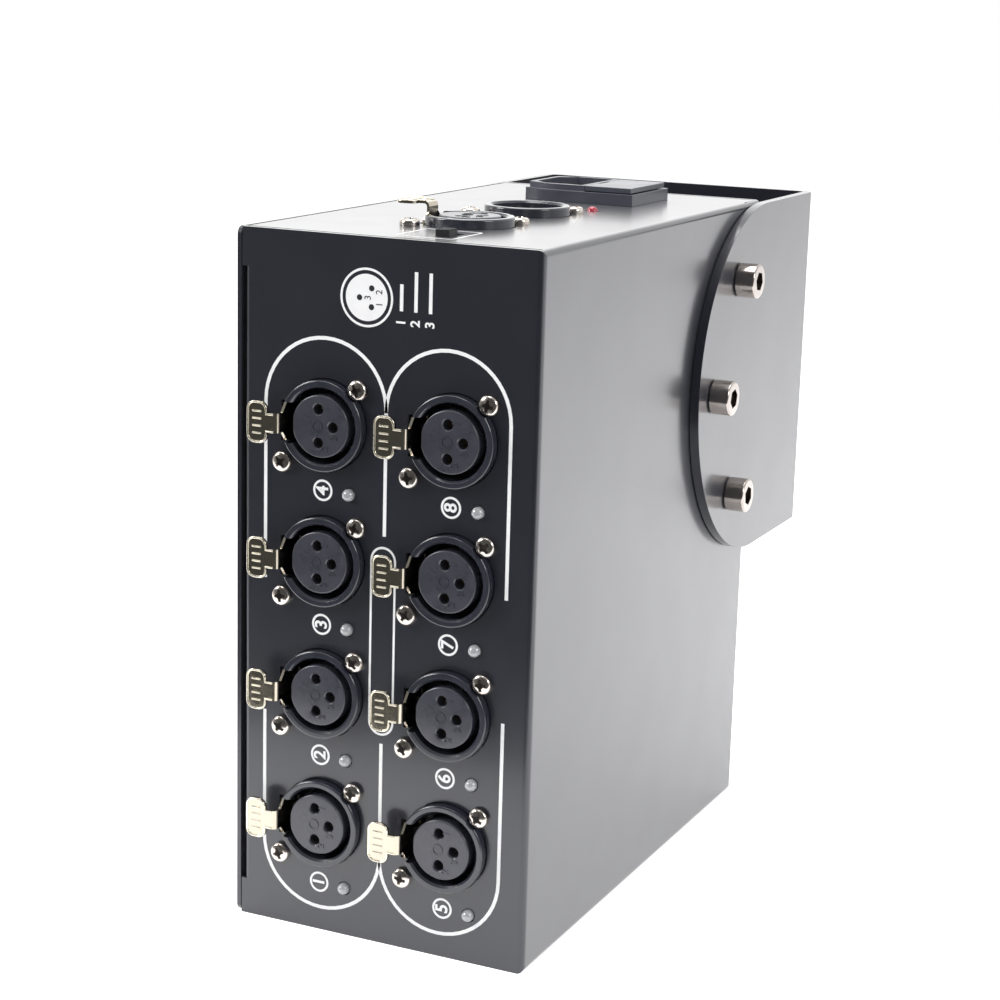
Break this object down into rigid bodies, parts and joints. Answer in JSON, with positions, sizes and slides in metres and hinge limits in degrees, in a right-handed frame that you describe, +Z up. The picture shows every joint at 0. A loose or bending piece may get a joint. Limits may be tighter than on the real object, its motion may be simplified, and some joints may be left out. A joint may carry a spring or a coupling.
{
  "type": "dmx splitter",
  "caption": "Stage lighting signal splitter: folded steel box with latching panel sockets, a mains inlet with fuse drawer, and a clamp bracket on its back.",
  "frame": {"origin": "centre of the box's bottom face, the small end that it stands on", "axes": "+Z up to the end face with the signal and mains connectors, -Y out of the front with the output sockets, +Y towards the clamp bracket, +X to the right seen from the front"},
  "size_m": [0.1039, 0.206, 0.1919],
  "materials": {
    "box_paint": "semi-gloss black powder coat, fine and even",
    "bracket_paint": "satin black powder coat",
    "cap_screw_steel": "bright steel, slightly warm, with dark reflections",
    "nickel": "bright nickel plate, slightly warm",
    "latch_steel": "bright nickel plate with a pale gold tint",
    "black_plastic": "black glass-filled plastic, fine grain",
    "insert_plastic": "black moulded plastic, smooth",
    "clear_lamp": "water-clear resin, slightly frosted",
    "red_lamp": "clear red resin",
    "fuse_glass": "clear glass tube with plated ends",
    "circuit_board": "green solder mask",
    "transformer_core": "varnished laminations with yellow tape"
  },
  "bodies": {
    "case": {"chassis": "box_paint", "lid": "box_paint", "bracket": "bracket_paint", "bracket_screw_right_1": "cap_screw_steel", "bracket_screw_right_2": "cap_screw_steel", "bracket_screw_right_3": "cap_screw_steel", "bracket_screw_left_1": "cap_screw_steel", "bracket_screw_left_2": "cap_screw_steel", "bracket_screw_left_3": "cap_screw_steel", "lid_screw_1": "nickel", "lid_screw_2": "nickel", "lid_screw_3": "nickel", "lid_screw_4": "nickel", "output_shell_1": "black_plastic", "output_shell_2": "black_plastic", "output_shell_3": "black_plastic", "output_shell_4": "black_plastic", "output_shell_5": "black_plastic", "output_shell_6": "black_plastic", "output_shell_7": "black_plastic", "output_shell_8": "black_plastic", "output_insert_1": "insert_plastic", "output_insert_2": "insert_plastic", "output_insert_3": "insert_plastic", "output_insert_4": "insert_plastic", "output_insert_5": "insert_plastic", "output_insert_6": "insert_plastic", "output_insert_7": "insert_plastic", "output_insert_8": "insert_plastic", "signal_lamp_1": "clear_lamp", "signal_lamp_2": "clear_lamp", "signal_lamp_3": "clear_lamp", "signal_lamp_4": "clear_lamp", "signal_lamp_5": "clear_lamp", "signal_lamp_6": "clear_lamp", "signal_lamp_7": "clear_lamp", "signal_lamp_8": "clear_lamp", "link_shell": "black_plastic", "link_insert": "insert_plastic", "input_shell": "black_plastic", "input_insert": "insert_plastic", "power_lamp": "red_lamp", "switch_body": "nickel", "power_inlet": "black_plastic", "output_board": "circuit_board", "input_board": "circuit_board", "supply_board": "circuit_board", "transformer": "transformer_core"},
    "output_latch_1": {"output_latch_1": "latch_steel"},
    "output_latch_2": {"output_latch_2": "latch_steel"},
    "output_latch_3": {"output_latch_3": "latch_steel"},
    "output_latch_4": {"output_latch_4": "latch_steel"},
    "output_latch_5": {"output_latch_5": "latch_steel"},
    "output_latch_6": {"output_latch_6": "latch_steel"},
    "output_latch_7": {"output_latch_7": "latch_steel"},
    "output_latch_8": {"output_latch_8": "latch_steel"},
    "link_latch": {"link_latch": "latch_steel"},
    "switch_knob": {"switch_knob": "black_plastic"},
    "fuse_drawer": {"fuse_drawer": "black_plastic", "fuse": "fuse_glass"}
  },
  "joints": [
    {"name": "output_latch_1_press", "type": "hinge", "parent": "case", "child": "output_latch_1", "pos_m": [-0.0285, -0.0715, 0.0305], "axis": [0, 0, -1], "range_deg": [0, 8], "stiffness_Nm_per_rad": 0.4},
    {"name": "output_latch_2_press", "type": "hinge", "parent": "case", "child": "output_latch_2", "pos_m": [-0.0285, -0.0715, 0.0661], "axis": [0, 0, -1], "range_deg": [0, 8], "stiffness_Nm_per_rad": 0.4},
    {"name": "output_latch_3_press", "type": "hinge", "parent": "case", "child": "output_latch_3", "pos_m": [-0.0285, -0.0715, 0.1017], "axis": [0, 0, -1], "range_deg": [0, 8], "stiffness_Nm_per_rad": 0.4},
    {"name": "output_latch_4_press", "type": "hinge", "parent": "case", "child": "output_latch_4", "pos_m": [-0.0285, -0.0715, 0.1373], "axis": [0, 0, -1], "range_deg": [0, 8], "stiffness_Nm_per_rad": 0.4},
    {"name": "output_latch_5_press", "type": "hinge", "parent": "case", "child": "output_latch_5", "pos_m": [0.0081, -0.0715, 0.0305], "axis": [0, 0, -1], "range_deg": [0, 8], "stiffness_Nm_per_rad": 0.4},
    {"name": "output_latch_6_press", "type": "hinge", "parent": "case", "child": "output_latch_6", "pos_m": [0.0081, -0.0715, 0.0661], "axis": [0, 0, -1], "range_deg": [0, 8], "stiffness_Nm_per_rad": 0.4},
    {"name": "output_latch_7_press", "type": "hinge", "parent": "case", "child": "output_latch_7", "pos_m": [0.0081, -0.0715, 0.1017], "axis": [0, 0, -1], "range_deg": [0, 8], "stiffness_Nm_per_rad": 0.4},
    {"name": "output_latch_8_press", "type": "hinge", "parent": "case", "child": "output_latch_8", "pos_m": [0.0081, -0.0715, 0.1373], "axis": [0, 0, -1], "range_deg": [0, 8], "stiffness_Nm_per_rad": 0.4},
    {"name": "link_latch_press", "type": "hinge", "parent": "case", "child": "link_latch", "pos_m": [-0.008, -0.0395, 0.179], "axis": [0, -1, 0], "range_deg": [0, 8], "stiffness_Nm_per_rad": 0.4},
    {"name": "switch_knob_slide", "type": "slide", "parent": "case", "child": "switch_knob", "axis": [0, 1, 0], "range_m": [0, 0.0038]},
    {"name": "fuse_drawer_slide", "type": "slide", "parent": "case", "child": "fuse_drawer", "axis": [0, 0, 1], "range_m": [0, 0.018]}
  ]
}
